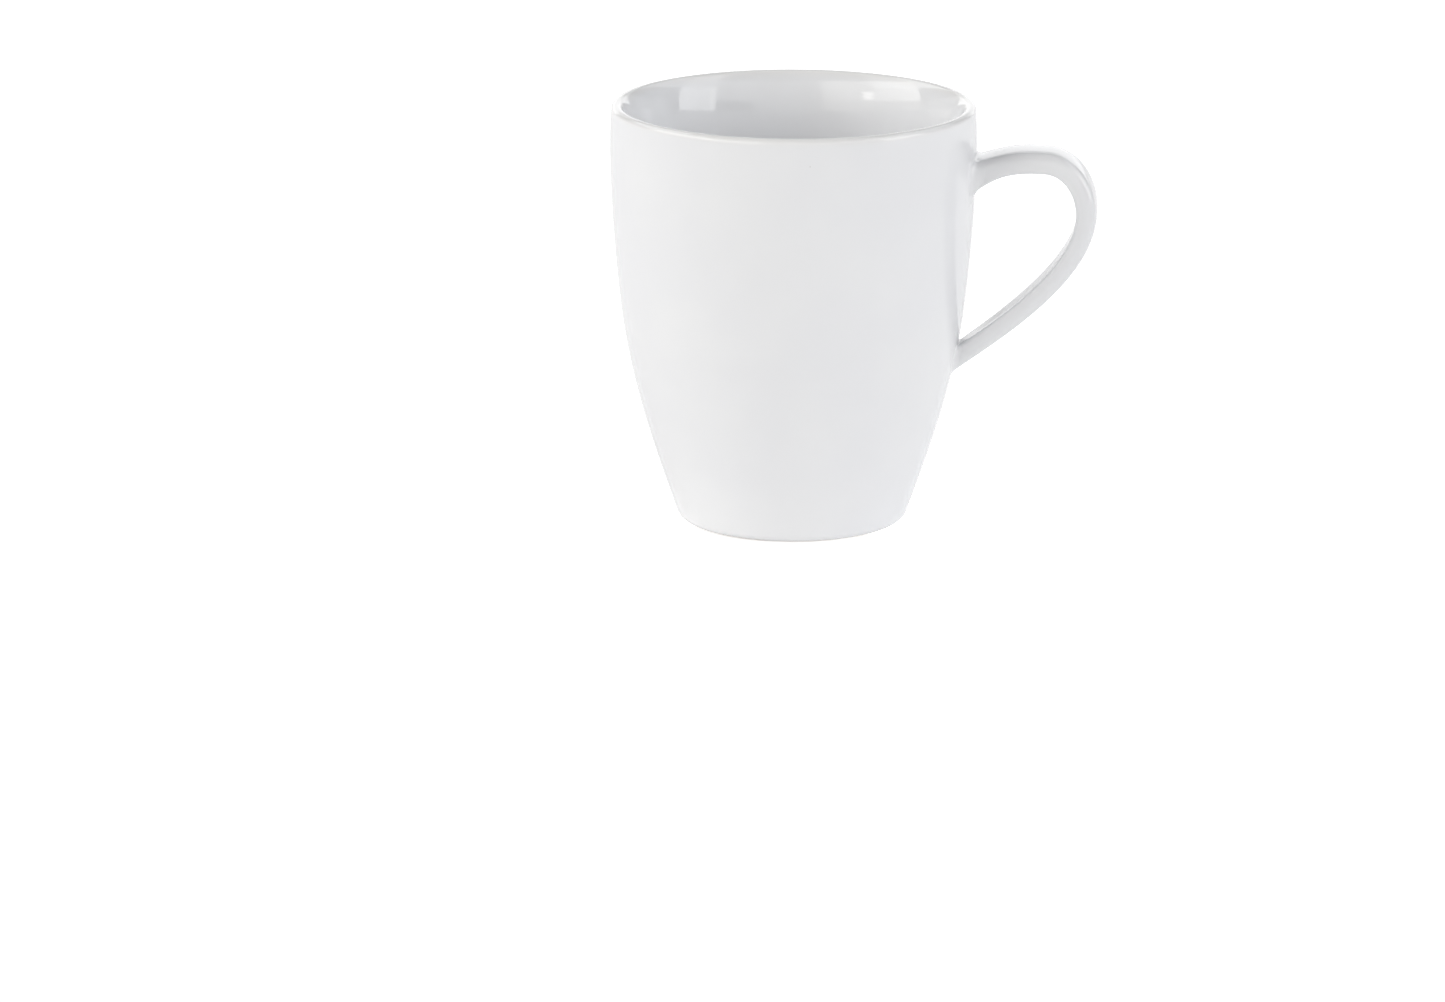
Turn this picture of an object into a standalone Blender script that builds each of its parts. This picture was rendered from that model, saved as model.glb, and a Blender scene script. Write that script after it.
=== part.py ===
"""A white glazed ceramic mug: a turned cup, a strap handle, and the two slip joints that hold it on.

Metres, +Z up. The mug stands on Z = 0 and its handle points along +X, symmetric about Y = 0.
The world origin is the middle of the whole mug's footprint box, so the cup's own axis stands a
little towards -X.
Profiles are (radius, height) pairs measured from the cup's axis and from the plane it stands on.
"""

import math

import bmesh
import bpy
from mathutils import Matrix, Vector

MM = 0.001

# Cup, outside
HEIGHT = 100.0 * MM
FOOT_FACE_RADIUS = 25.05 * MM      # outer edge of the flat ring that the mug stands on
FOOT_CORNER = 2.6 * MM             # round from that ring up into the wall
FOOT_LEAN = math.radians(19.2)     # wall's lean from the vertical, just above the foot
KNEE = (39.70 * MM, 44.6 * MM)     # where the flared lower wall passes into the steep upper wall
KNEE_LEAN = math.radians(10.1)
LIP_LEAN = math.radians(-5.8)      # the wall closes in a little just under the lip
LIP_CENTRE_RADIUS = 41.68 * MM
LIP_ROUND = 1.3 * MM               # half of the lip's thickness, fully rounded
LOWER_PULLS = (15.6 * MM, 17.0 * MM)   # Bezier handle lengths of the lower wall
UPPER_PULLS = (12.2 * MM, 11.6 * MM)   # and of the upper wall

# Cup, inside and underneath
BEVEL_LEAN = math.radians(36.0)    # the inside opens out in a soft bevel up to the lip
BEVEL_PULLS = (5.2 * MM, 3.0 * MM)
SHOULDER = (37.0 * MM, 83.5 * MM)  # where that bevel passes into the inner wall
SHOULDER_LEAN = math.radians(1.0)
INNER_PULLS = (26.0 * MM, 24.0 * MM)
FLOOR_SIDE = (27.4 * MM, 16.6 * MM)    # where the inner wall passes into the floor's round
FLOOR_SIDE_LEAN = math.radians(17.5)
FLOOR_EDGE = (15.5 * MM, 6.5 * MM)     # where that round passes into the flat floor
FLOOR_PULL = 6.0 * MM              # Bezier handle length of the floor's round, at both ends
FOOT_RECESS = 2.0 * MM
FOOT_RING_WIDTH = 2.8 * MM
FOOT_RING_SLOPE = 2.2 * MM         # radial length of the curve from the ring up to the recessed underside

# Handle: the middle line of the strap in the plane Y = 0, as (distance from the cup's axis, height)
UPPER_ROOT = (41.0 * MM, 83.5 * MM)
UPPER_ROOT_RISE = math.radians(33.2)
CROWN = (58.95 * MM, 88.05 * MM)
BEND = (69.5 * MM, 75.6 * MM)
LOWER_ROOT = (37.0 * MM, 38.2 * MM)
LOWER_ROOT_RISE = math.radians(37.7)
HANDLE_PULLS = ((10.2 * MM, 2.6 * MM), (6.4 * MM, 6.5 * MM), (15.2 * MM, 10.6 * MM))
UPPER_WIDTH = 14.5 * MM
LOWER_WIDTH = 7.0 * MM
UPPER_THICKNESS = 5.0 * MM
LOWER_THICKNESS = 4.6 * MM
ROOT_FLARE = 1.55 * MM             # extra thickness where the strap meets the wall at the top
ROOT_FLARE_LENGTH = 10.0 * MM
OUTER_EDGE_WIDTH = 2.2 * MM        # how far the outer edges' rounding reaches in from the side
OUTER_EDGE_DEPTH = 0.6             # and down from the outer face, as a share of the thickness
OUTER_CROWN = 0.35 * MM            # how much lower the outer face lies at its edges than in its middle
INNER_EDGE = 0.9 * MM              # radius of the inner edges

# Slip joints
CLEARANCE = 0.3 * MM               # gap kept between neighbouring solids
SLIP_THICKNESS = 0.6 * MM
SLIP_BEAD = 0.6 * MM               # how far the slip squeezes out all round the strap
SLIP_REACH = 6.0 * MM              # half length of the block that each slip pad is cut from

# Fineness
TURN_STEPS = 72
WALL_STEPS = 7
EDGE_STEPS = 5
FACE_STEPS = 4
SPAN_STEPS = 12
SHARP_ANGLE = math.radians(35)     # edges sharper than this are shaded as edges


def clear_scene():
    for obj in list(bpy.data.objects):
        bpy.data.objects.remove(obj)


def bezier(start, start_pull, end_pull, end, steps):
    """Points of a cubic Bezier from start to end, both ends included."""
    points = []
    for i in range(steps + 1):
        t = i / steps
        weights = ((1 - t) ** 3, 3 * (1 - t) ** 2 * t, 3 * (1 - t) * t**2, t**3)
        corners = (start, start_pull, end_pull, end)
        points.append(tuple(sum(w * c[k] for w, c in zip(weights, corners)) for k in (0, 1)))
    return points


def arc(centre, radius, start, end, steps):
    """Points of a circular arc between two angles, both ends included."""
    angles = [start + (end - start) * i / steps for i in range(steps + 1)]
    return [(centre[0] + radius * math.cos(a), centre[1] + radius * math.sin(a)) for a in angles]


def ahead(point, lean, length):
    """The point a length further up a wall that leans outwards by an angle."""
    return (point[0] + length * math.sin(lean), point[1] + length * math.cos(lean))


def wall_curve():
    """The cup's outer wall from the top of the foot corner to the start of the lip."""
    foot = arc((FOOT_FACE_RADIUS, FOOT_CORNER), FOOT_CORNER, -FOOT_LEAN, 0.0, 1)[0]
    lip = arc((LIP_CENTRE_RADIUS, HEIGHT - LIP_ROUND), LIP_ROUND, -LIP_LEAN, 0.0, 1)[0]
    lower = bezier(
        foot,
        ahead(foot, FOOT_LEAN, LOWER_PULLS[0]),
        ahead(KNEE, KNEE_LEAN, -LOWER_PULLS[1]),
        KNEE,
        WALL_STEPS,
    )
    upper = bezier(
        KNEE,
        ahead(KNEE, KNEE_LEAN, UPPER_PULLS[0]),
        ahead(lip, LIP_LEAN, -UPPER_PULLS[1]),
        lip,
        WALL_STEPS,
    )
    return lower + upper[1:]


def offset_outwards(curve, distance_at):
    """Moves each point of a rising wall along its outward normal by distance_at(height)."""
    moved = []
    for i, point in enumerate(curve):
        before = Vector(curve[max(i - 1, 0)])
        after = Vector(curve[min(i + 1, len(curve) - 1)])
        along = (after - before).normalized()
        distance = distance_at(point[1])
        moved.append((point[0] + along.y * distance, point[1] - along.x * distance))
    return moved


def inner_curve():
    """The cup's inside from the lip down to the edge of the flat floor."""
    lip = arc((LIP_CENTRE_RADIUS, HEIGHT - LIP_ROUND), LIP_ROUND, math.pi - BEVEL_LEAN, 0.0, 1)[0]
    bevel = bezier(
        lip,
        ahead(lip, BEVEL_LEAN, -BEVEL_PULLS[0]),
        ahead(SHOULDER, SHOULDER_LEAN, BEVEL_PULLS[1]),
        SHOULDER,
        WALL_STEPS,
    )
    wall = bezier(
        SHOULDER,
        ahead(SHOULDER, SHOULDER_LEAN, -INNER_PULLS[0]),
        ahead(FLOOR_SIDE, FLOOR_SIDE_LEAN, INNER_PULLS[1]),
        FLOOR_SIDE,
        WALL_STEPS,
    )
    floor_round = bezier(
        FLOOR_SIDE,
        ahead(FLOOR_SIDE, FLOOR_SIDE_LEAN, -FLOOR_PULL),
        (FLOOR_EDGE[0] + FLOOR_PULL, FLOOR_EDGE[1]),
        FLOOR_EDGE,
        WALL_STEPS,
    )
    return bevel + wall[1:] + floor_round[1:]


def underside_curve():
    """From the recessed underside out over the foot ring's inner edge to its flat face."""
    ring_inner = FOOT_FACE_RADIUS - FOOT_RING_WIDTH
    top = (ring_inner - FOOT_RING_SLOPE, FOOT_RECESS)
    half = FOOT_RING_SLOPE / 2
    return bezier(top, (top[0] + half, top[1]), (ring_inner - half, 0.0), (ring_inner, 0.0), EDGE_STEPS)


def cup_profile():
    """The cup's whole section, from the middle of the underside round to the middle of the floor."""
    foot_corner = arc((FOOT_FACE_RADIUS, FOOT_CORNER), FOOT_CORNER, -math.pi / 2, -FOOT_LEAN, EDGE_STEPS)
    lip_centre = (LIP_CENTRE_RADIUS, HEIGHT - LIP_ROUND)
    lip_outside = arc(lip_centre, LIP_ROUND, -LIP_LEAN, math.pi / 2, EDGE_STEPS)
    lip_inside = arc(lip_centre, LIP_ROUND, math.pi / 2, math.pi - BEVEL_LEAN, EDGE_STEPS)
    outside = foot_corner + wall_curve()[1:] + lip_outside[1:] + lip_inside[1:]
    return [(0.0, FOOT_RECESS)] + underside_curve() + outside + inner_curve()[1:] + [(0.0, FLOOR_EDGE[1])]


def turned(name, profile):
    """A mesh turned about the Z axis. The profile starts and ends on the axis and leaves it below."""
    built = bmesh.new()
    bottom = built.verts.new((0.0, 0.0, profile[0][1]))
    top = built.verts.new((0.0, 0.0, profile[-1][1]))
    rings = []
    for radius, height in profile[1:-1]:
        turns = [2 * math.pi * i / TURN_STEPS for i in range(TURN_STEPS)]
        rings.append([built.verts.new((radius * math.cos(a), radius * math.sin(a), height)) for a in turns])
    for i in range(TURN_STEPS):
        j = (i + 1) % TURN_STEPS
        built.faces.new((bottom, rings[0][j], rings[0][i]))
        built.faces.new((rings[-1][i], rings[-1][j], top))
        for low, high in zip(rings, rings[1:]):
            built.faces.new((low[i], low[j], high[j], high[i]))
    return finished_mesh(name, built)


def finished_mesh(name, built):
    """Turns a bmesh into a smooth-shaded mesh with its faces pointing out."""
    bmesh.ops.recalc_face_normals(built, faces=built.faces)
    mesh = bpy.data.meshes.new(name)
    built.to_mesh(mesh)
    built.free()
    mesh.shade_smooth()
    mesh.set_sharp_from_angle(angle=SHARP_ANGLE)
    return mesh


def handle_spans():
    """The middle line's three Bezier spans: wall to crown, crown to bend, bend back to the wall."""
    (root_pull, crown_in), (crown_out, bend_in), (bend_out, foot_pull) = HANDLE_PULLS
    upper_rise = (math.cos(UPPER_ROOT_RISE), math.sin(UPPER_ROOT_RISE))
    lower_rise = (math.cos(LOWER_ROOT_RISE), math.sin(LOWER_ROOT_RISE))
    upper_control = (UPPER_ROOT[0] + root_pull * upper_rise[0], UPPER_ROOT[1] + root_pull * upper_rise[1])
    lower_control = (LOWER_ROOT[0] + foot_pull * lower_rise[0], LOWER_ROOT[1] + foot_pull * lower_rise[1])
    to_crown = bezier(UPPER_ROOT, upper_control, (CROWN[0] - crown_in, CROWN[1]), CROWN, SPAN_STEPS)
    bend_above = (BEND[0], BEND[1] + bend_in)
    bend_below = (BEND[0], BEND[1] - bend_out)
    to_bend = bezier(CROWN, (CROWN[0] + crown_out, CROWN[1]), bend_above, BEND, SPAN_STEPS)
    to_wall = bezier(BEND, bend_below, lower_control, LOWER_ROOT, 2 * SPAN_STEPS)
    return to_crown, to_bend, to_wall


def strap_stations():
    """Each station of the strap: centre, outward normal in the plane, width and thickness."""
    to_crown, to_bend, to_wall = handle_spans()
    line = [Vector(p) for p in to_crown + to_bend[1:] + to_wall[1:]]
    walked = [0.0]
    for a, b in zip(line, line[1:]):
        walked.append(walked[-1] + (b - a).length)
    stations = []
    for i, centre in enumerate(line):
        along = (line[min(i + 1, len(line) - 1)] - line[max(i - 1, 0)]).normalized()
        share = walked[i] / walked[-1]
        near_root = max(0.0, 1.0 - walked[i] / ROOT_FLARE_LENGTH)
        flare = ROOT_FLARE * near_root * near_root * (3.0 - 2.0 * near_root)
        width = UPPER_WIDTH + (LOWER_WIDTH - UPPER_WIDTH) * share**2
        thickness = UPPER_THICKNESS + (LOWER_THICKNESS - UPPER_THICKNESS) * share + flare
        stations.append((centre, Vector((-along.y, along.x)), width, thickness))
    return stations


def oval_arc(centre, wide, deep, turn):
    """A quarter of an oval, counted in quarter turns from the sideways direction."""
    start = turn * math.pi / 2
    spots = arc((0.0, 0.0), 1.0, start, start + math.pi / 2, EDGE_STEPS)
    return [(centre[0] + wide * side, centre[1] + deep * out) for side, out in spots]


def strap_section(width, thickness, bead):
    """The strap's outline grown by a bead, as (sideways, outwards) pairs, anticlockwise."""
    half_width = width / 2 + bead
    half_thickness = thickness / 2 + bead
    wide = OUTER_EDGE_WIDTH + bead
    deep = OUTER_EDGE_DEPTH * thickness + bead
    inner = INNER_EDGE + bead
    flat = half_width - wide
    outline = oval_arc((flat, half_thickness - deep), wide, deep, 0)
    for i in range(1, FACE_STEPS):
        outline.append((flat - 2 * flat * i / FACE_STEPS, half_thickness))
    outline += oval_arc((-flat, half_thickness - deep), wide, deep, 1)
    outline += oval_arc((inner - half_width, inner - half_thickness), inner, inner, 2)
    outline += oval_arc((half_width - inner, inner - half_thickness), inner, inner, 3)
    crowned = []
    for side, out in outline:
        lowered = OUTER_CROWN * (side / half_width) ** 2 * (0.5 + out / (2 * half_thickness))
        crowned.append((side, out - lowered))
    return crowned


def swept(name, stations, bead):
    """A closed strap through the stations, its section grown by a bead."""
    built = bmesh.new()
    rings = []
    for centre, normal, width, thickness in stations:
        ring = []
        for side, out in strap_section(width, thickness, bead):
            spot = centre + normal * out
            ring.append(built.verts.new((spot.x, side, spot.y)))
        rings.append(ring)
    for low, high in zip(rings, rings[1:]):
        for i in range(len(low)):
            j = (i + 1) % len(low)
            built.faces.new((low[i], low[j], high[j], high[i]))
    built.faces.new(rings[0])
    built.faces.new(rings[-1])
    return finished_mesh(name, built)


def slip_block(station, along):
    """The two end stations of a short straight block round one root of the strap."""
    centre, normal, width, thickness = station
    return [(centre + along * reach, normal, width, thickness) for reach in (-SLIP_REACH, SLIP_REACH)]


def glazed(name, colour, roughness):
    """A Principled material for one piece."""
    material = bpy.data.materials.new(name)
    material.use_nodes = True
    shader = material.node_tree.nodes["Principled BSDF"]
    shader.inputs["Base Color"].default_value = (*colour, 1.0)
    shader.inputs["Roughness"].default_value = roughness
    shader.inputs["Metallic"].default_value = 0.0
    return material


def add_piece(mesh, parent, origin, material):
    """Adds a mesh given in the cup's axes as an object with its own origin, under the mug's empty."""
    mesh.transform(Matrix.Translation(-origin))
    mesh.materials.append(material)
    piece = bpy.data.objects.new(mesh.name, mesh)
    bpy.context.scene.collection.objects.link(piece)
    piece.parent = parent
    piece.location = origin
    return piece


def add_cutter(name, distance, parent):
    """A hidden solid with the cup's outer wall grown by a distance, which trims what meets the wall."""
    wall = offset_outwards(wall_curve(), lambda height: distance)
    mesh = turned(name, [(0.0, wall[0][1])] + wall + [(0.0, wall[-1][1])])
    cutter = bpy.data.objects.new(name, mesh)
    bpy.context.scene.collection.objects.link(cutter)
    cutter.parent = parent
    cutter.hide_render = True
    cutter.display_type = "WIRE"
    return cutter


def trim(piece, cutter, operation):
    boolean = piece.modifiers.new(cutter.name, "BOOLEAN")
    boolean.operation = operation
    boolean.object = cutter
    boolean.solver = "EXACT"


def add_cup(parent):
    material = glazed("body_glaze", (0.86, 0.86, 0.87), 0.08)
    return add_piece(turned("mug_body", cup_profile()), parent, Vector(), material)


def add_handle(parent, stations, past_slip):
    wall_middle = Vector(((UPPER_ROOT[0] + LOWER_ROOT[0]) / 2, 0.0, (UPPER_ROOT[1] + LOWER_ROOT[1]) / 2))
    material = glazed("handle_glaze", (0.85, 0.85, 0.86), 0.08)
    handle = add_piece(swept("handle", stations, 0.0), parent, wall_middle, material)
    trim(handle, past_slip, "DIFFERENCE")


def add_slip_joint(name, parent, station, rise, near_wall, past_wall):
    """One thin curved pad of slip, cut from a block to lie just off the wall."""
    along = Vector((math.cos(rise), math.sin(rise)))
    origin = Vector((station[0].x, 0.0, station[0].y))
    mesh = swept(name, slip_block(station, along), SLIP_BEAD)
    slip = add_piece(mesh, parent, origin, glazed(name + "_glaze", (0.84, 0.84, 0.85), 0.1))
    trim(slip, past_wall, "INTERSECT")
    trim(slip, near_wall, "DIFFERENCE")


def axis_position(stations):
    """Where the cup's axis stands, so that the origin is in the middle of the mug's whole length."""
    cup_reach = max(radius for radius, height in wall_curve())
    handle_reach = max(centre.x + abs(normal.x) * thick / 2 for centre, normal, width, thick in stations)
    return Vector(((cup_reach - handle_reach) / 2, 0.0, 0.0))


def build():
    clear_scene()
    stations = strap_stations()
    mug = bpy.data.objects.new("mug", None)
    bpy.context.scene.collection.objects.link(mug)
    mug.location = axis_position(stations)
    near_wall = add_cutter("cutter_wall_to_slip", CLEARANCE, mug)
    past_wall = add_cutter("cutter_slip_outside", CLEARANCE + SLIP_THICKNESS, mug)
    past_slip = add_cutter("cutter_slip_to_handle", 2 * CLEARANCE + SLIP_THICKNESS, mug)
    add_cup(mug)
    add_handle(mug, stations, past_slip)
    add_slip_joint("upper_slip_joint", mug, stations[0], UPPER_ROOT_RISE, near_wall, past_wall)
    add_slip_joint("lower_slip_joint", mug, stations[-1], LOWER_ROOT_RISE, near_wall, past_wall)


build()
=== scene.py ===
"""The looks of a white glazed ceramic mug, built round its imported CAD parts.

Metres, +Z up, handle towards +X. Four visible pieces stand for the four CAD nodes: the turned cup,
the strap handle, and the two glazed fillets where the handle's roots run out into the wall.
MM is a hundredth of the cup's height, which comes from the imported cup: at full size, a millimetre.
The meshes are made round the cup's axis and its standing plane, and then moved to stand on them.
"""

import math
from bisect import bisect_left, bisect_right
from collections import namedtuple

import bmesh
import bpy
from mathutils import Matrix, Vector


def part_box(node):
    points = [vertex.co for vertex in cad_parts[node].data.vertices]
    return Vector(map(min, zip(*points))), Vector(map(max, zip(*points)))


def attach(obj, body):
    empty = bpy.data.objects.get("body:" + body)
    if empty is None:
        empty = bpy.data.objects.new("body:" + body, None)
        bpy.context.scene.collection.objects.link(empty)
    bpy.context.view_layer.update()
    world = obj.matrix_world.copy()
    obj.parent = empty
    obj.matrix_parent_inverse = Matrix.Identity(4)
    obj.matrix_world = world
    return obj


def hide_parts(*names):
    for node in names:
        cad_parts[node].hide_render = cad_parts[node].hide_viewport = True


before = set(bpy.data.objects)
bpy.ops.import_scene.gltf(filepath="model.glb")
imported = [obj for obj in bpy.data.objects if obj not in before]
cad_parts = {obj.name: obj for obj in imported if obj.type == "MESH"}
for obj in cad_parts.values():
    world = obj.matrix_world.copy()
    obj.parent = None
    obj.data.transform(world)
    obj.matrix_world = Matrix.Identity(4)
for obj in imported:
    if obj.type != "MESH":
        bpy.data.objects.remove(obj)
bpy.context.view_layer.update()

CUP_LOW, CUP_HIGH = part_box("mug_body")
HANDLE_LOW, HANDLE_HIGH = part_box("handle")
MM = (CUP_HIGH.z - CUP_LOW.z) / 100.0
AXIS = Vector(((CUP_LOW.x + CUP_HIGH.x) / 2, (CUP_LOW.y + CUP_HIGH.y) / 2, CUP_LOW.z))

# Cup, outside. Profiles are (radius, height) pairs from the cup's axis and its standing plane.
HEIGHT = CUP_HIGH.z - CUP_LOW.z
FOOT_FACE_RADIUS = 25.05 * MM
FOOT_CORNER = 2.6 * MM
FOOT_LEAN = math.radians(19.2)
KNEE = (39.70 * MM, 44.6 * MM)
KNEE_LEAN = math.radians(10.1)
LIP_LEAN = math.radians(-5.8)
LIP_CENTRE_RADIUS = 41.68 * MM
LIP_ROUND = 1.3 * MM
LOWER_PULLS = (15.6 * MM, 17.0 * MM)
UPPER_PULLS = (12.2 * MM, 11.6 * MM)

# Cup, inside and underneath
BEVEL_LEAN = math.radians(36.0)
BEVEL_PULLS = (5.2 * MM, 3.0 * MM)
SHOULDER = (37.0 * MM, 83.5 * MM)
SHOULDER_LEAN = math.radians(1.0)
INNER_PULLS = (26.0 * MM, 24.0 * MM)
FLOOR_SIDE = (27.4 * MM, 16.6 * MM)
FLOOR_SIDE_LEAN = math.radians(17.5)
FLOOR_EDGE = (15.5 * MM, 6.5 * MM)
FLOOR_PULL = 6.0 * MM
FOOT_RECESS = 2.0 * MM
FOOT_RING_WIDTH = 2.8 * MM
FOOT_RING_SLOPE = 2.2 * MM
FLAT_RINGS = (0.66, 0.33, 0.1)     # rings across the flat floor and recess, as shares of their radius

# Handle
UPPER_THICKNESS = 5.0 * MM
LOWER_THICKNESS = 4.6 * MM
UPPER_WIDTH = 14.5 * MM
LOWER_WIDTH = 7.0 * MM
ROOT_FLARE = 1.25 * MM
ROOT_FLARE_LENGTH = 10.0 * MM
OUTER_EDGE = (2.2 * MM, 0.60)      # rounding of the outer edges: sideways, and as a share of the thickness
INNER_EDGE = 0.9 * MM
OUTER_CROWN = 0.35 * MM            # how much lower the outer face lies at its edges than in its middle
CROWN_DEPTH = 2.54 * MM            # how far the middle line lies under the top of the handle's box
BEND_DEPTH = 2.42 * MM             # and inside its far side
UPPER_ROOT = (41.0 * MM, 83.3 * MM)
UPPER_ROOT_RISE = math.radians(33.2)
CROWN = (58.95 * MM, HANDLE_HIGH.z - CUP_LOW.z - CROWN_DEPTH)
BEND = (HANDLE_HIGH.x - AXIS.x - BEND_DEPTH, 75.6 * MM)
LOWER_ROOT = (37.0 * MM, 38.2 * MM)
LOWER_ROOT_RISE = math.radians(37.7)
HANDLE_PULLS = ((10.2 * MM, 2.6 * MM), (6.4 * MM, 6.5 * MM), (15.2 * MM, 10.6 * MM))

# Joints
SUNK = 0.15 * MM                   # how far the strap's ends run in under the wall's surface
CAP_RINGS = (0.66, 0.33)           # rings across the strap's hidden ends, as shares of their size
SEARCH_REACH = 8.0 * MM            # how far either side of a root its meeting with the wall may lie
SEARCH_HALVINGS = 40
SLOPE_STEP = 0.2 * MM              # height step that the wall's slope is measured over
# How far the fillets run: over the strap's outer face, over its inner face, along its sides, and
# out over the wall beside it
UPPER_REACH = (1.3 * MM, 2.8 * MM, 4.4 * MM, 1.8 * MM)
LOWER_REACH = (1.0 * MM, 0.8 * MM, 2.4 * MM, 1.2 * MM)
FILLET_PULL = 0.85                 # how near the fillet's curve is pulled to the corner it fills
FILLET_SKIN = 0.02 * MM            # how far a fillet's edges dip under the surfaces they run into
FILLET_BURY = 0.12 * MM            # how far a fillet's hidden faces lie under those surfaces

# Fineness
TURN_STEPS = 192
LONG_STEPS = 28
STRAP_LINE_STEPS = 8 * LONG_STEPS
SHORT_STEPS = 10
STRAP_RINGS = 110
ROOT_RINGS = 10
EDGE_POINTS = 10
FACE_POINTS = 6
FILLET_STEPS = 8
SHARP_ANGLE = math.radians(40)


def bezier(start, start_pull, end_pull, end, steps):
    """Points of a cubic Bezier from start to end, both ends included."""
    points = []
    for i in range(steps + 1):
        t = i / steps
        weights = ((1 - t) ** 3, 3 * (1 - t) ** 2 * t, 3 * (1 - t) * t**2, t**3)
        corners = (start, start_pull, end_pull, end)
        points.append(tuple(sum(w * c[k] for w, c in zip(weights, corners)) for k in (0, 1)))
    return points


def arc(centre, radius, start, end, steps):
    """Points of a circular arc between two angles, both ends included."""
    angles = [start + (end - start) * i / steps for i in range(steps + 1)]
    return [(centre[0] + radius * math.cos(a), centre[1] + radius * math.sin(a)) for a in angles]


def ahead(point, lean, length):
    """The point a length further up a wall that leans outwards by an angle."""
    return (point[0] + length * math.sin(lean), point[1] + length * math.cos(lean))


def leaning_span(low, low_lean, high, high_lean, pulls, steps):
    """A wall's Bezier span from a lower point up to a higher one."""
    return bezier(low, ahead(low, low_lean, pulls[0]), ahead(high, high_lean, -pulls[1]), high, steps)


def outer_wall():
    foot = arc((FOOT_FACE_RADIUS, FOOT_CORNER), FOOT_CORNER, -FOOT_LEAN, 0.0, 1)[0]
    lip = arc((LIP_CENTRE_RADIUS, HEIGHT - LIP_ROUND), LIP_ROUND, -LIP_LEAN, 0.0, 1)[0]
    lower = leaning_span(foot, FOOT_LEAN, KNEE, KNEE_LEAN, LOWER_PULLS, LONG_STEPS)
    upper = leaning_span(KNEE, KNEE_LEAN, lip, LIP_LEAN, UPPER_PULLS, LONG_STEPS)
    return lower + upper[1:]


def inner_wall():
    """The inside from the lip down to the edge of the flat floor."""
    lip = arc((LIP_CENTRE_RADIUS, HEIGHT - LIP_ROUND), LIP_ROUND, math.pi - BEVEL_LEAN, 0.0, 1)[0]
    bevel_pulls = (BEVEL_PULLS[1], BEVEL_PULLS[0])
    bevel = leaning_span(SHOULDER, SHOULDER_LEAN, lip, BEVEL_LEAN, bevel_pulls, LONG_STEPS)
    wall_pulls = (INNER_PULLS[1], INNER_PULLS[0])
    wall = leaning_span(FLOOR_SIDE, FLOOR_SIDE_LEAN, SHOULDER, SHOULDER_LEAN, wall_pulls, LONG_STEPS)
    side_pull = ahead(FLOOR_SIDE, FLOOR_SIDE_LEAN, -FLOOR_PULL)
    edge_pull = (FLOOR_EDGE[0] + FLOOR_PULL, FLOOR_EDGE[1])
    floor_round = bezier(FLOOR_SIDE, side_pull, edge_pull, FLOOR_EDGE, 2 * SHORT_STEPS)
    return bevel[::-1] + wall[::-1][1:] + floor_round[1:]


def underside():
    """From the recessed underside out over the foot ring's inner edge to its flat face."""
    ring_inner = FOOT_FACE_RADIUS - FOOT_RING_WIDTH
    top = (ring_inner - FOOT_RING_SLOPE, FOOT_RECESS)
    half = FOOT_RING_SLOPE / 2
    pulls = ((top[0] + half, top[1]), (ring_inner - half, 0.0))
    return bezier(top, *pulls, (ring_inner, 0.0), SHORT_STEPS)


def cup_outline():
    """The cup's section, from the middle of the underside round to the middle of the floor."""
    recess = underside()
    corner_centre = (FOOT_FACE_RADIUS, FOOT_CORNER)
    corner = arc(corner_centre, FOOT_CORNER, -math.pi / 2, -FOOT_LEAN, SHORT_STEPS)
    lip_centre = (LIP_CENTRE_RADIUS, HEIGHT - LIP_ROUND)
    lip_outside = arc(lip_centre, LIP_ROUND, -LIP_LEAN, math.pi / 2, SHORT_STEPS)
    lip_inside = arc(lip_centre, LIP_ROUND, math.pi / 2, math.pi - BEVEL_LEAN, SHORT_STEPS)
    under = [(recess[0][0] * share, FOOT_RECESS) for share in reversed(FLAT_RINGS)]
    floor = [(FLOOR_EDGE[0] * share, FLOOR_EDGE[1]) for share in FLAT_RINGS]
    outside = corner + outer_wall()[1:] + lip_outside[1:] + lip_inside[1:]
    return under + recess + outside + inner_wall()[1:] + floor


def smooth_mesh(name, built):
    """Turns a bmesh into a smooth-shaded mesh with its faces pointing out."""
    bmesh.ops.recalc_face_normals(built, faces=built.faces)
    mesh = bpy.data.meshes.new(name)
    built.to_mesh(mesh)
    built.free()
    mesh.shade_smooth()
    mesh.set_sharp_from_angle(angle=SHARP_ANGLE)
    return mesh


def add_piece(mesh, material, node):
    """Adds a mesh given in the cup's axes, as a piece that stands for a CAD node."""
    mesh.transform(Matrix.Translation(AXIS))
    mesh.materials.append(material)
    piece = bpy.data.objects.new(mesh.name, mesh)
    bpy.context.scene.collection.objects.link(piece)
    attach(piece, "root")
    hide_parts(node)
    return piece


def turned_cup(name):
    built = bmesh.new()
    outline = cup_outline()
    turns = [2 * math.pi * i / TURN_STEPS for i in range(TURN_STEPS)]
    rings = []
    for radius, height in outline:
        rings.append([built.verts.new((radius * math.cos(a), radius * math.sin(a), height)) for a in turns])
    under = built.verts.new((0.0, 0.0, outline[0][1]))
    floor = built.verts.new((0.0, 0.0, outline[-1][1]))
    for i in range(TURN_STEPS):
        j = (i + 1) % TURN_STEPS
        built.faces.new((under, rings[0][j], rings[0][i]))
        built.faces.new((rings[-1][i], rings[-1][j], floor))
        for low, high in zip(rings, rings[1:]):
            built.faces.new((low[i], low[j], high[j], high[i]))
    return smooth_mesh(name, built)


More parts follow.
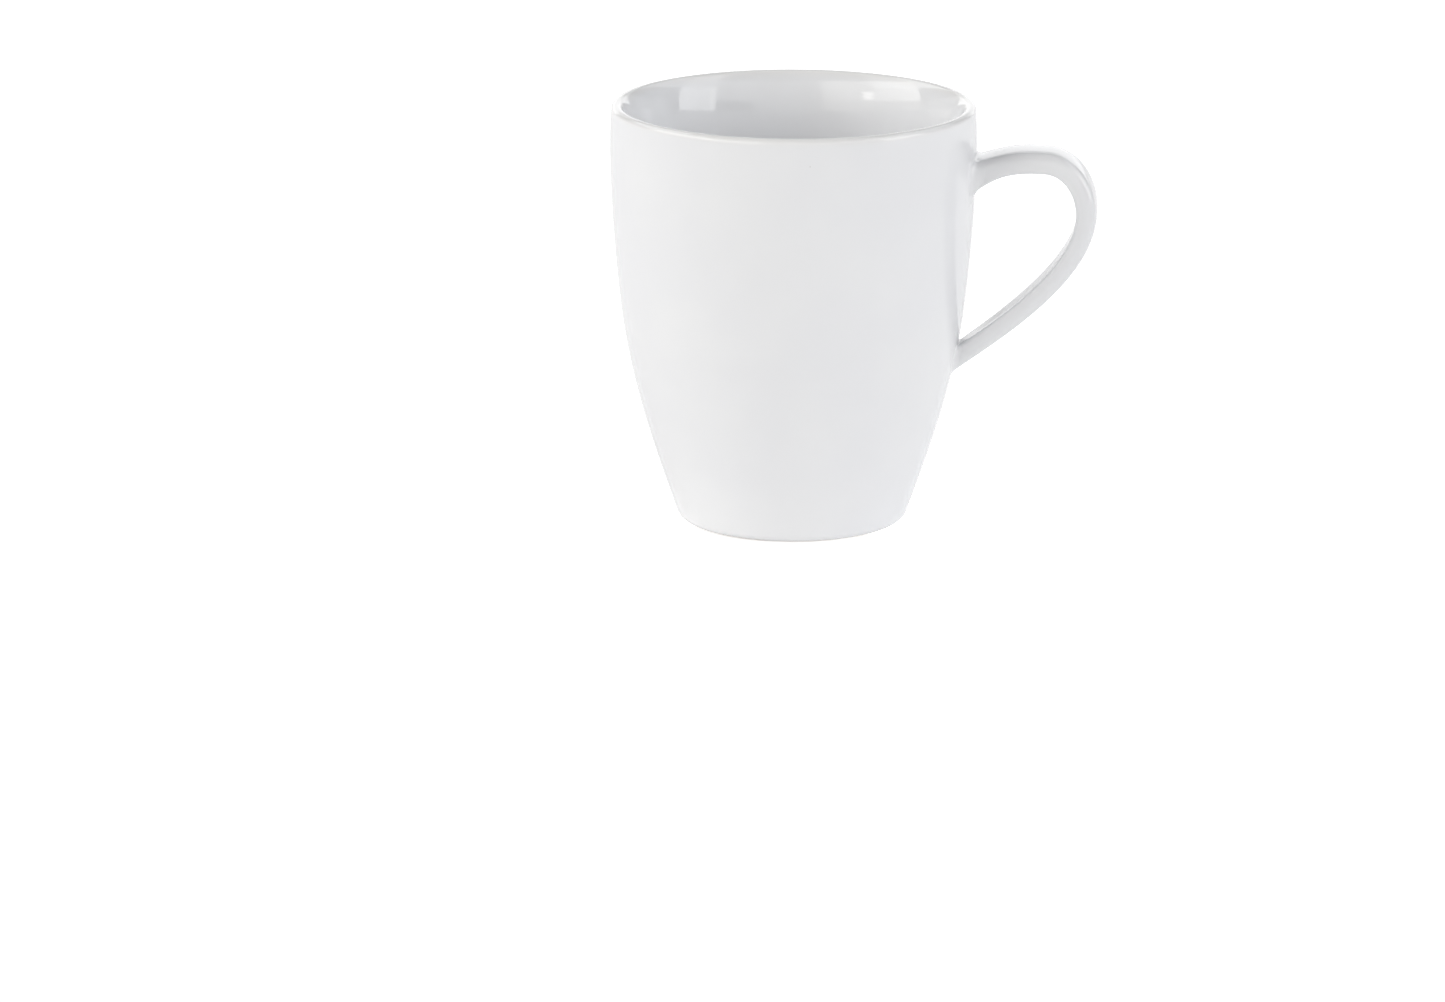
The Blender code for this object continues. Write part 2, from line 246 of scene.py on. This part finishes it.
class Wall:
    """The cup's outer wall as a radius for each height."""

    def __init__(self):
        self.points = outer_wall()
        self.heights = [height for _, height in self.points]

    def radius(self, height):
        low = min(max(bisect_left(self.heights, height) - 1, 0), len(self.points) - 2)
        below = self.points[low]
        above = self.points[low + 1]
        share = (height - below[1]) / (above[1] - below[1])
        return below[0] + (above[0] - below[0]) * share

    def normal(self, point):
        rise = self.radius(point.z + SLOPE_STEP) - self.radius(point.z - SLOPE_STEP)
        flat = Vector((point.x, point.y, 0.0)).normalized()
        return Vector((flat.x, flat.y, -rise / (2 * SLOPE_STEP))).normalized()

    def outside(self, point):
        """How far a point is outside the wall, along its radius."""
        return math.hypot(point.x, point.y) - self.radius(point.z)

    def onto(self, point, depth):
        """The point moved along its radius to lie a depth under the wall's surface."""
        flat = Vector((point.x, point.y, 0.0)).normalized()
        return flat * (self.radius(point.z) - depth) + Vector((0.0, 0.0, point.z))


class Strap:
    """The handle's surface: a point for each distance along it and each place round its section."""

    def __init__(self):
        (root_pull, crown_in), (crown_out, bend_in), (bend_out, foot_pull) = HANDLE_PULLS
        upper = (math.cos(UPPER_ROOT_RISE), math.sin(UPPER_ROOT_RISE))
        lower = (math.cos(LOWER_ROOT_RISE), math.sin(LOWER_ROOT_RISE))
        upper_pull = (UPPER_ROOT[0] + root_pull * upper[0], UPPER_ROOT[1] + root_pull * upper[1])
        lower_pull = (LOWER_ROOT[0] + foot_pull * lower[0], LOWER_ROOT[1] + foot_pull * lower[1])
        before_crown = (CROWN[0] - crown_in, CROWN[1])
        after_crown = (CROWN[0] + crown_out, CROWN[1])
        above_bend = (BEND[0], BEND[1] + bend_in)
        below_bend = (BEND[0], BEND[1] - bend_out)
        to_crown = bezier(UPPER_ROOT, upper_pull, before_crown, CROWN, STRAP_LINE_STEPS)
        to_bend = bezier(CROWN, after_crown, above_bend, BEND, STRAP_LINE_STEPS)
        to_wall = bezier(BEND, below_bend, lower_pull, LOWER_ROOT, 2 * STRAP_LINE_STEPS)
        self.line = [Vector(p) for p in to_crown + to_bend[1:] + to_wall[1:]]
        self.walked = [0.0]
        for a, b in zip(self.line, self.line[1:]):
            self.walked.append(self.walked[-1] + (b - a).length)
        self.length = self.walked[-1]
        self.tangents = []
        for i in range(len(self.line)):
            a = self.line[max(i - 1, 0)]
            b = self.line[min(i + 1, len(self.line) - 1)]
            self.tangents.append((b - a).normalized())

    def middle(self, distance):
        """The middle line's point and direction, carried on straight past either end."""
        if distance <= 0.0:
            return self.line[0] + self.tangents[0] * distance, self.tangents[0]
        if distance >= self.length:
            return self.line[-1] + self.tangents[-1] * (distance - self.length), self.tangents[-1]
        low = min(max(bisect_right(self.walked, distance) - 1, 0), len(self.walked) - 2)
        high = low + 1
        share = (distance - self.walked[low]) / (self.walked[high] - self.walked[low])
        point = self.line[low].lerp(self.line[high], share)
        along = self.tangents[low].lerp(self.tangents[high], share).normalized()
        return point, along

    def size(self, distance):
        """The section's width and thickness."""
        share = min(max(distance / self.length, 0.0), 1.0)
        near = min(max(1.0 - distance / ROOT_FLARE_LENGTH, 0.0), 1.0)
        flare = ROOT_FLARE * near * near * (3.0 - 2.0 * near)
        width = UPPER_WIDTH + (LOWER_WIDTH - UPPER_WIDTH) * share**2
        thickness = UPPER_THICKNESS + (LOWER_THICKNESS - UPPER_THICKNESS) * share + flare
        return width, thickness

    def point(self, distance, place):
        """A surface point. The place is one from section_places."""
        centre, along = self.middle(distance)
        width, thickness = self.size(distance)
        side, out = section_point(place, width, thickness)
        normal = Vector((-along.y, along.x))
        spot = centre + normal * out
        return Vector((spot.x, side, spot.y))

    def normal(self, distance, before, after):
        """The outward normal between two neighbouring places round the section."""
        around = self.point(distance, after) - self.point(distance, before)
        flat = self.middle(distance)[1]
        along = Vector((flat.x, 0.0, flat.y))
        return around.cross(along).normalized()


def section_places():
    """Places round the strap's section, anticlockwise.

    Each is (a corner's signs, its quarter turn, the share of that turn, and for a place on the face
    after the corner the next corner's signs and the share of the way to it, otherwise None).
    """
    places = []
    corners = ((1, 1), (-1, 1), (-1, -1), (1, -1))
    for turn, corner in enumerate(corners):
        for i in range(EDGE_POINTS + 1):
            places.append((corner, turn, i / EDGE_POINTS, None))
        following = corners[(turn + 1) % 4]
        for i in range(1, FACE_POINTS):
            places.append((corner, turn, 1.0, (following, i / FACE_POINTS)))
    return places


def edge_point(corner, angle, width, thickness):
    """A point on one rounded edge of the section, given by its corner's signs."""
    wide, deep = INNER_EDGE, INNER_EDGE
    if corner[1] > 0:
        wide, deep = OUTER_EDGE[0], OUTER_EDGE[1] * thickness
    side = corner[0] * (width / 2 - wide) + wide * math.cos(angle)
    out = corner[1] * (thickness / 2 - deep) + deep * math.sin(angle)
    return side, out


def section_point(place, width, thickness):
    """The (sideways, outwards) offset of a place on a section with rounded edges and a crowned top."""
    corner, turn, share, face = place
    angle = (turn + share) * math.pi / 2
    side, out = edge_point(corner, angle, width, thickness)
    if face is not None:
        following, along = face
        next_side, next_out = edge_point(following, angle, width, thickness)
        side += (next_side - side) * along
        out += (next_out - out) * along
    lowered = OUTER_CROWN * (2 * side / width) ** 2
    return side, out - lowered * (0.5 + out / thickness)


def meeting(strap, wall, place, upper, depth):
    """How far along the strap one of its long lines passes a depth under the wall's surface."""
    if upper:
        inside, outside = -SEARCH_REACH, SEARCH_REACH
    else:
        inside, outside = strap.length + SEARCH_REACH, strap.length - SEARCH_REACH
    for _ in range(SEARCH_HALVINGS):
        middle = (inside + outside) / 2
        if wall.outside(strap.point(middle, place)) < -depth:
            inside = middle
        else:
            outside = middle
    return (inside + outside) / 2


def end_cap(built, ring, wall, depth):
    """Closes the strap under the wall's surface with two rings and a middle point."""
    middle = Vector()
    for vertex in ring:
        middle += vertex.co
    middle /= len(ring)
    outer = ring
    for share in CAP_RINGS:
        inner = [built.verts.new(wall.onto(middle.lerp(v.co, share), depth)) for v in ring]
        for i in range(len(ring)):
            j = (i + 1) % len(ring)
            built.faces.new((outer[i], outer[j], inner[j], inner[i]))
        outer = inner
    centre = built.verts.new(wall.onto(middle, depth))
    for i in range(len(ring)):
        j = (i + 1) % len(ring)
        built.faces.new((outer[i], outer[j], centre))


def strap_handle(name, strap, wall):
    """The strap from wall to wall. Near each root the rings turn to follow the wall's surface."""
    built = bmesh.new()
    places = section_places()
    starts = [meeting(strap, wall, place, True, SUNK) for place in places]
    ends = [meeting(strap, wall, place, False, SUNK) for place in places]
    first = ROOT_FLARE_LENGTH
    last = strap.length - ROOT_FLARE_LENGTH
    rows = [[s + (first - s) * k / ROOT_RINGS for s in starts] for k in range(ROOT_RINGS)]
    rows += [[first + (last - first) * k / STRAP_RINGS] * len(places) for k in range(STRAP_RINGS)]
    rows += [[last + (e - last) * k / ROOT_RINGS for e in ends] for k in range(ROOT_RINGS + 1)]
    rings = []
    for row in rows:
        rings.append([built.verts.new(strap.point(s, place)) for s, place in zip(row, places)])
    for low, high in zip(rings, rings[1:]):
        for i in range(len(places)):
            j = (i + 1) % len(places)
            built.faces.new((low[i], low[j], high[j], high[i]))
    end_cap(built, rings[0], wall, SUNK)
    end_cap(built, rings[-1], wall, SUNK)
    return smooth_mesh(name, built)


def fillet_loop(strap, wall, place, before, after, upper):
    """A fillet's section at one place round the strap, as a closed loop of points."""
    away = 1.0 if upper else -1.0
    outer, inner, side, beside = UPPER_REACH if upper else LOWER_REACH
    met = meeting(strap, wall, place, upper, 0.0)
    corner = strap.point(met, place)
    wall_normal = wall.normal(corner)
    strap_normal = strap.normal(met, before, after)
    across = (strap_normal - wall_normal * strap_normal.dot(wall_normal)).normalized()
    sideways = abs(strap_normal.y)
    face = outer if place[0][1] > 0 else inner
    along_strap = face + (side - face) * sideways
    along_wall = face + (beside - face) * sideways
    on_strap = strap.point(met + away * along_strap, place) - strap_normal * FILLET_SKIN
    on_wall = wall.onto(corner + across * along_wall, FILLET_SKIN)
    pull = on_strap.lerp(corner, FILLET_PULL)
    loop = []
    for k in range(FILLET_STEPS + 1):
        t = k / FILLET_STEPS
        loop.append(on_strap * (1 - t) ** 2 + pull * (2 * t * (1 - t)) + on_wall * t**2)
    loop.append(on_wall - wall_normal * FILLET_BURY)
    loop.append(corner - (wall_normal + strap_normal) * FILLET_BURY)
    loop.append(on_strap - strap_normal * FILLET_BURY)
    return loop


def fillet(name, strap, wall, upper):
    """A closed ring of glaze and slip that runs from the strap's surface out onto the wall."""
    built = bmesh.new()
    places = section_places()
    loops = []
    for i, place in enumerate(places):
        before = places[i - 1]
        after = places[(i + 1) % len(places)]
        loop = fillet_loop(strap, wall, place, before, after, upper)
        loops.append([built.verts.new(point) for point in loop])
    for i in range(len(loops)):
        low, high = loops[i], loops[(i + 1) % len(loops)]
        for k in range(len(low)):
            n = (k + 1) % len(low)
            built.faces.new((low[k], low[n], high[n], high[k]))
    return smooth_mesh(name, built)


# Looks. Colours are linear RGB. Lengths in textures are in metres, so a scale is features a metre.
CAMERA_AZIMUTH = math.radians(5.0)
PLAIN = (1.0, 1.0, 1.0)

GLAZE_WHITE = (0.80, 0.805, 0.82)
GLAZE_CLOUD = (0.785, 0.79, 0.81)
GLAZE_THIN = (0.82, 0.81, 0.79)
GLAZE_PAINTED_LIGHT_INSIDE = (0.825, 0.833, 0.85)  # painted light: the inside is drawn a little whiter, standing in for more light inside the cup
CUP_TONE = 1.0
FILLET_TONE = 0.975                  # the slip and the strap are a touch greyer than the cup
STRAP_TONE = 0.95
CLOUD_SCALE = 38.0
CLOUD_EDGES = (0.35, 0.65)
THIN_DEPTH = 2.2 * MM                # how far below the lip the glaze has run thin
THIN_SHARE = 0.5
# edges of the mask that paints the cup's inside lighter, by how the surface faces from the axis
PAINTED_LIGHT_INSIDE_EDGES = (2.0 * MM, -10.0 * MM)
GLAZE_IOR = 1.5
GLAZE_SHINE = 0.5
ROUGH_SCALE = 60.0
ROUGH_EDGES = (0.3, 0.7)
ROUGH_RANGE = (0.045, 0.085)

SPECK = (0.34, 0.30, 0.25)
MARK_SCALE = 150.0                   # cells a metre, some of which hold a speck or a pinhole
MARK_EDGES = (0.032, 0.012)
SPECK_ABOVE = 0.93                   # cells whose chance is above this hold a speck
PINHOLE_BELOW = 0.05                 # and those whose chance is below this a pinhole
SPECK_SHARE = 0.3
PINHOLE_DEPTH = 40e-6
RIPPLE_SCALE = 110.0
RIPPLE_HEIGHT = 22e-6
PEEL_SCALE = 800.0
PEEL_HEIGHT = 1.2e-6

CLAY = (0.62, 0.57, 0.50)
CLAY_DARKEST = 0.86
CLAY_ROUGH = 0.8
CLAY_SHINE = 0.25
GRAIN_SCALE = 2600.0
GRAIN_EDGES = (0.3, 0.7)
GRAIN_HEIGHT = 30e-6
BARE_EDGES = (0.42 * MM, 0.34 * MM)  # the foot ring is bare clay below this wavering height
WAVER_SCALE = 160.0
WAVER_HEIGHT = 0.5 * MM


class Shader:
    """Short names for adding nodes to a node tree and joining them."""

    def __init__(self, tree):
        self.tree = tree
        tree.nodes.clear()

    def add(self, kind, inputs, **settings):
        made = self.tree.nodes.new(kind)
        for name, value in settings.items():
            setattr(made, name, value)
        for socket, value in inputs.items():
            if isinstance(value, bpy.types.NodeSocket):
                self.tree.links.new(value, made.inputs[socket])
            elif value is not None:
                made.inputs[socket].default_value = value
        return made

    def math(self, operation, first, second=0.0):
        return self.add("ShaderNodeMath", {0: first, 1: second}, operation=operation).outputs[0]

    def ramp(self, value, start, end, low=0.0, high=1.0):
        """Goes smoothly from low to high as the value goes from start to end."""
        inputs = {"Value": value, "From Min": start, "From Max": end, "To Min": low, "To Max": high}
        kind = "ShaderNodeMapRange"
        return self.add(kind, inputs, interpolation_type="SMOOTHSTEP").outputs["Result"]

    def vector(self, operation, inputs, output=0):
        return self.add("ShaderNodeVectorMath", inputs, operation=operation).outputs[output]

    def mix(self, share, first, second):
        inputs = {0: share, 6: colour(first), 7: colour(second)}
        return self.add("ShaderNodeMix", inputs, data_type="RGBA").outputs[2]

    def noise(self, place, scale, detail):
        inputs = {"Vector": place, "Scale": scale, "Detail": detail}
        return self.add("ShaderNodeTexNoise", inputs).outputs["Fac"]

    def from_camera(self, way):
        """A direction's parts: X to the camera's right, Y level and away from the camera, Z up."""
        inputs = {"Vector": way, "Angle": -CAMERA_AZIMUTH}
        turned = self.add("ShaderNodeVectorRotate", inputs, rotation_type="Z_AXIS")
        return self.add("ShaderNodeSeparateXYZ", {0: turned.outputs[0]}).outputs


def colour(value):
    """Adds the alpha that a colour socket's own value needs."""
    return (*value, 1.0) if isinstance(value, tuple) else value


def toned(shade, tone):
    return tuple(tone * part for part in shade)


def painted_light_inside_share(s, place, height):
    """Where the painted light inside goes: 1 on the cup's inside, 0 on its outside, told apart by the way
    the surface faces.
    """
    facing = s.add("ShaderNodeNewGeometry", {}).outputs["Normal"]
    from_axis = s.vector("SUBTRACT", {0: place, 1: (AXIS.x, AXIS.y, 0.0)})
    flat = s.vector("MULTIPLY", {0: from_axis, 1: (1.0, 1.0, 0.0)})
    outward = s.vector("DOT_PRODUCT", {0: facing, 1: flat}, "Value")
    above_floor = s.math("GREATER_THAN", height, FLOOR_EDGE[1] - 0.5 * MM)
    return s.math("MULTIPLY", s.ramp(outward, *PAINTED_LIGHT_INSIDE_EDGES), above_floor)


def glaze_colour(s, place, height, tone, is_cup):
    """White with faint clouds, thinner and warmer at the lip and, on the cup, with painted light inside
    that draws it whiter there.
    """
    plain = toned(GLAZE_WHITE, tone)
    clouds = s.ramp(s.noise(place, CLOUD_SCALE, detail=2.0), *CLOUD_EDGES)
    white = s.mix(clouds, plain, toned(GLAZE_CLOUD, tone))
    if is_cup:
        # painted light: the cup's inside is drawn whiter, standing in for light inside it
        inside = s.mix(clouds, toned(GLAZE_PAINTED_LIGHT_INSIDE, tone), plain)
        white = s.mix(painted_light_inside_share(s, place, height), white, inside)
    thin = s.ramp(height, HEIGHT - THIN_DEPTH, HEIGHT, 0.0, THIN_SHARE)
    return s.mix(thin, white, toned(GLAZE_THIN, tone))


def glaze_marks(s, place):
    """Where the few specks and pinholes are: two masks."""
    cells = s.add("ShaderNodeTexVoronoi", {"Vector": place, "Scale": MARK_SCALE})
    chance = s.add("ShaderNodeSeparateColor", {0: cells.outputs["Color"]}).outputs[0]
    near = s.ramp(cells.outputs["Distance"], *MARK_EDGES)
    speck = s.math("MULTIPLY", near, s.math("GREATER_THAN", chance, SPECK_ABOVE))
    pinhole = s.math("MULTIPLY", near, s.math("LESS_THAN", chance, PINHOLE_BELOW))
    return speck, pinhole


def glaze_relief(s, place, pinhole):
    """The glaze's height in metres: a slow ripple, a fine peel and the pinholes."""
    ripple = s.math("MULTIPLY", s.noise(place, RIPPLE_SCALE, detail=1.0), RIPPLE_HEIGHT)
    peel = s.math("MULTIPLY", s.noise(place, PEEL_SCALE, detail=1.0), PEEL_HEIGHT)
    hole = s.math("MULTIPLY", pinhole, PINHOLE_DEPTH)
    return s.math("SUBTRACT", s.math("ADD", ripple, peel), hole)


def bare_clay(s, place, height, looks):
    """Changes the glaze's looks to those of bare, sandy clay on the foot ring."""
    waver = s.math("MULTIPLY", s.noise(place, WAVER_SCALE, detail=2.0), WAVER_HEIGHT)
    bare = s.ramp(s.math("ADD", height, waver), *BARE_EDGES)
    grain = s.noise(place, GRAIN_SCALE, detail=3.0)
    clay = s.mix(s.ramp(grain, *GRAIN_EDGES), CLAY, toned(CLAY, CLAY_DARKEST))
    colour_now, rough, _, surface = looks
    sand = s.math("MULTIPLY", s.math("MULTIPLY", grain, bare), GRAIN_HEIGHT)
    return (
        s.mix(bare, colour_now, clay),
        s.add("ShaderNodeMix", {0: bare, 2: rough, 3: CLAY_ROUGH}).outputs[0],
        s.ramp(bare, 0.0, 1.0, GLAZE_SHINE, CLAY_SHINE),
        s.math("ADD", surface, sand),
    )


def glaze(name, tone, is_cup=False):
    """Clear gloss glaze over a white body. The cup's has painted light inside, which draws it whiter there,
    and is bare on the foot ring.
    """
    material = bpy.data.materials.new(name)
    material.use_nodes = True
    s = Shader(material.node_tree)
    place = s.add("ShaderNodeTexCoord", {}).outputs["Object"]
    height = s.add("ShaderNodeSeparateXYZ", {0: place}).outputs["Z"]

    speck, pinhole = glaze_marks(s, place)
    white = glaze_colour(s, place, height, tone, is_cup)
    white = s.mix(s.math("MULTIPLY", speck, SPECK_SHARE), white, SPECK)
    rough = s.ramp(s.noise(place, ROUGH_SCALE, detail=3.0), *ROUGH_EDGES, *ROUGH_RANGE)
    looks = (white, rough, GLAZE_SHINE, glaze_relief(s, place, pinhole))
    if is_cup:
        looks = bare_clay(s, place, height, looks)
    white, rough, shine, surface = looks

    bump = s.add("ShaderNodeBump", {"Height": surface, "Strength": 1.0, "Distance": 1.0})
    inputs = {
        "Base Color": white,
        "Roughness": rough,
        "IOR": GLAZE_IOR,
        "Specular IOR Level": shine,
        "Normal": bump.outputs["Normal"],
    }
    body = s.add("ShaderNodeBsdfPrincipled", inputs)
    s.add("ShaderNodeOutputMaterial", {"Surface": body.outputs[0]})
    return material


# Studio. Angles round the mug are degrees from the camera's side, growing to the camera's right.
FLOOR_RADIUS = 7.0
FLOOR_SIDES = 96
FLOOR_DROP = 0.05 * MM
FLOOR_SHADE = (0.80, 0.80, 0.80)
FLOOR_GLOW = 0.27
FLOOR_GLOW_RIGHT = 0.07              # added at the camera's right, taken away at its left
FLOOR_GLOW_AWAY = 0.08               # added behind the mug, taken away in front
FLOOR_LIFT = 0.25                    # added to what the camera sees, so that only a faint shadow is left
BACKDROP_SHADE = 0.99
PANEL_SOFT = 1.2                     # half the width of a panel's soft edge
WARM = (1.02, 1.0, 0.955)
COOL = (0.98, 1.0, 1.05)

# The panels' first levels came from a fit of test renders. They were then rounded and changed.
Panel = namedtuple("Panel", "left right bottom top level tint")
PANELS = (
    Panel(-102, -62, 14, 40, 2.95, WARM),     # the large panel on the left
    Panel(-62, -21, 14, 40, 2.4, WARM),
    Panel(-102, -62, 1, 14, 1.2, WARM),       # its foot
    Panel(-62, -21, 1, 14, 1.6, WARM),
    Panel(-102, -62, 28, 40, 0.7, COOL),      # its brighter upper corner
    Panel(-102, -62, 40, 55, 0.8, COOL),
    Panel(-60, -52, 15, 23, 3.4, WARM),       # the lamp behind it
    Panel(-21, 29, 14, 40, 0.95, PLAIN),      # the screen over the camera
    Panel(29, 60, 14, 40, 1.35, PLAIN),
    Panel(-21, 29, 1, 14, 0.9, PLAIN),
    Panel(60, 90, 0, 28, 3.1, PLAIN),         # the tall panel on the right
    Panel(58, 62, 0, 28, 1.6, WARM),          # the gleam along its edge
    Panel(60, 90, 28, 55, 2.0, PLAIN),
    Panel(-150, -102, 28, 55, 2.1, COOL),     # the two soft lights behind
    Panel(90, 150, 28, 55, 1.3, COOL),
)
# The backdrop, whose angles are the same on both sides
BACKDROP = (
    Panel(150, 200, 0, 17, 1.6, PLAIN),
    Panel(150, 200, 17, 28, 1.0, PLAIN),
    Panel(102, 150, 0, 14, 0.5, PLAIN),
)


def panel_light(s, around, up, panel):
    """A panel's light: its level and tint inside its angles, nothing outside, with soft edges."""
    mask = None
    for angle, edge, sign in (
        (around, panel.left, 1),
        (around, panel.right, -1),
        (up, panel.bottom, 1),
        (up, panel.top, -1),
    ):
        start = math.radians(edge - sign * PANEL_SOFT)
        end = math.radians(edge + sign * PANEL_SOFT)
        side = s.ramp(angle, start, end)
        mask = side if mask is None else s.math("MULTIPLY", mask, side)
    light = toned(panel.tint, panel.level)
    return s.vector("SCALE", {0: light, 3: mask})


def add_studio():
    """Soft panels to the left, in front and to the right, two behind, and a bright low backdrop."""
    world = bpy.data.worlds.new("studio")
    bpy.context.scene.world = world
    world.use_nodes = True
    s = Shader(world.node_tree)
    way = s.add("ShaderNodeTexCoord", {}).outputs["Generated"]
    right, away, rise = s.from_camera(way)
    around = s.math("ARCTAN2", right, s.math("MULTIPLY", away, -1.0))
    either_side = s.math("ABSOLUTE", around)
    up = s.math("ARCSINE", rise)

    lights = [panel_light(s, around, up, panel) for panel in PANELS]
    lights += [panel_light(s, either_side, up, panel) for panel in BACKDROP]
    total = lights[0]
    for light in lights[1:]:
        total = s.vector("ADD", {0: total, 1: light})
    lit = s.add("ShaderNodeBackground", {"Color": total})
    backdrop = s.add("ShaderNodeBackground", {"Color": colour(PLAIN), "Strength": BACKDROP_SHADE})
    seen = s.add("ShaderNodeLightPath", {}).outputs["Is Camera Ray"]
    both = s.add("ShaderNodeMixShader", {0: seen, 1: lit.outputs[0], 2: backdrop.outputs[0]})
    s.add("ShaderNodeOutputWorld", {"Surface": both.outputs[0]})


def floor_material():
    """A pale, faintly glowing floor, nearly white to the camera. From underneath it is clear."""
    material = bpy.data.materials.new("floor")
    material.use_nodes = True
    material.cycles.emission_sampling = "NONE"
    s = Shader(material.node_tree)
    place = s.add("ShaderNodeTexCoord", {}).outputs["Object"]
    right, away, _ = s.from_camera(s.vector("NORMALIZE", {0: place}))
    slope = s.math("MULTIPLY", right, FLOOR_GLOW_RIGHT)
    slope = s.math("ADD", slope, s.math("MULTIPLY", away, FLOOR_GLOW_AWAY))
    seen = s.add("ShaderNodeLightPath", {}).outputs["Is Camera Ray"]
    lift = s.math("MULTIPLY", seen, FLOOR_LIFT)
    strength = s.math("ADD", slope, s.math("ADD", lift, FLOOR_GLOW))
    matt = s.add("ShaderNodeBsdfDiffuse", {"Color": colour(FLOOR_SHADE)})
    glow = s.add("ShaderNodeEmission", {"Strength": strength})
    top = s.add("ShaderNodeAddShader", {0: matt.outputs[0], 1: glow.outputs[0]})
    under = s.add("ShaderNodeBsdfTransparent", {})
    facing = s.add("ShaderNodeNewGeometry", {}).outputs["Backfacing"]
    both = s.add("ShaderNodeMixShader", {0: facing, 1: top.outputs[0], 2: under.outputs[0]})
    s.add("ShaderNodeOutputMaterial", {"Surface": both.outputs[0]})
    return material


def add_floor():
    built = bmesh.new()
    bmesh.ops.create_circle(built, cap_ends=True, radius=FLOOR_RADIUS, segments=FLOOR_SIDES)
    mesh = bpy.data.meshes.new("floor")
    built.to_mesh(mesh)
    built.free()
    mesh.materials.append(floor_material())
    floor = bpy.data.objects.new("floor", mesh)
    floor.location = (AXIS.x, AXIS.y, CUP_LOW.z - FLOOR_DROP)
    bpy.context.scene.collection.objects.link(floor)


# Camera, aimed at the middle of the cup and then turned so that the mug stands off-centre. Its
# values come from a fit to the mug's outline.
CAMERA_ELEVATION = math.radians(13.2)
CAMERA_DISTANCE = 14.723 * HEIGHT
CAMERA_LENS = 154.34
CAMERA_SENSOR = 36.0
CAMERA_PAN = math.radians(0.6416)
CAMERA_TILT = math.radians(-1.7678)
CAMERA_ROLL = math.radians(0.247)
CAMERA_NEAR = 0.01


def add_camera():
    centre = AXIS + Vector((0.0, 0.0, HEIGHT / 2))
    level = math.cos(CAMERA_ELEVATION)
    back = Vector((
        math.sin(CAMERA_AZIMUTH) * level,
        -math.cos(CAMERA_AZIMUTH) * level,
        math.sin(CAMERA_ELEVATION),
    ))
    data = bpy.data.cameras.new("camera")
    data.lens = CAMERA_LENS
    data.sensor_width = CAMERA_SENSOR
    data.clip_start = CAMERA_NEAR
    camera = bpy.data.objects.new("camera", data)
    bpy.context.scene.collection.objects.link(camera)
    facing = (-back).to_track_quat("-Z", "Y").to_matrix()
    pan = Matrix.Rotation(CAMERA_PAN, 3, "Y")
    tilt = Matrix.Rotation(CAMERA_TILT, 3, "X")
    roll = Matrix.Rotation(CAMERA_ROLL, 3, "Z")
    turn = (facing @ pan @ tilt @ roll).to_4x4()
    camera.matrix_world = Matrix.Translation(centre + back * CAMERA_DISTANCE) @ turn
    bpy.context.scene.camera = camera


def build_mug():
    wall = Wall()
    strap = Strap()
    cup = turned_cup("cup")
    handle = strap_handle("strap_handle", strap, wall)
    upper = fillet("upper_fillet", strap, wall, True)
    lower = fillet("lower_fillet", strap, wall, False)
    add_piece(cup, glaze("cup_glaze", CUP_TONE, is_cup=True), "mug_body")
    add_piece(handle, glaze("strap_glaze", STRAP_TONE), "handle")
    add_piece(upper, glaze("upper_fillet_glaze", FILLET_TONE), "upper_slip_joint")
    add_piece(lower, glaze("lower_fillet_glaze", FILLET_TONE), "lower_slip_joint")


# Light bounces: the cup's inside is lit mostly by light from its own walls
MOST_BOUNCES = 16
DIFFUSE_BOUNCES = 10
GLOSSY_BOUNCES = 6


def set_colours_and_bounces():
    scene = bpy.context.scene
    scene.view_settings.view_transform = "Standard"
    scene.cycles.max_bounces = MOST_BOUNCES
    scene.cycles.diffuse_bounces = DIFFUSE_BOUNCES
    scene.cycles.glossy_bounces = GLOSSY_BOUNCES


build_mug()
add_floor()
add_studio()
add_camera()
set_colours_and_bounces()
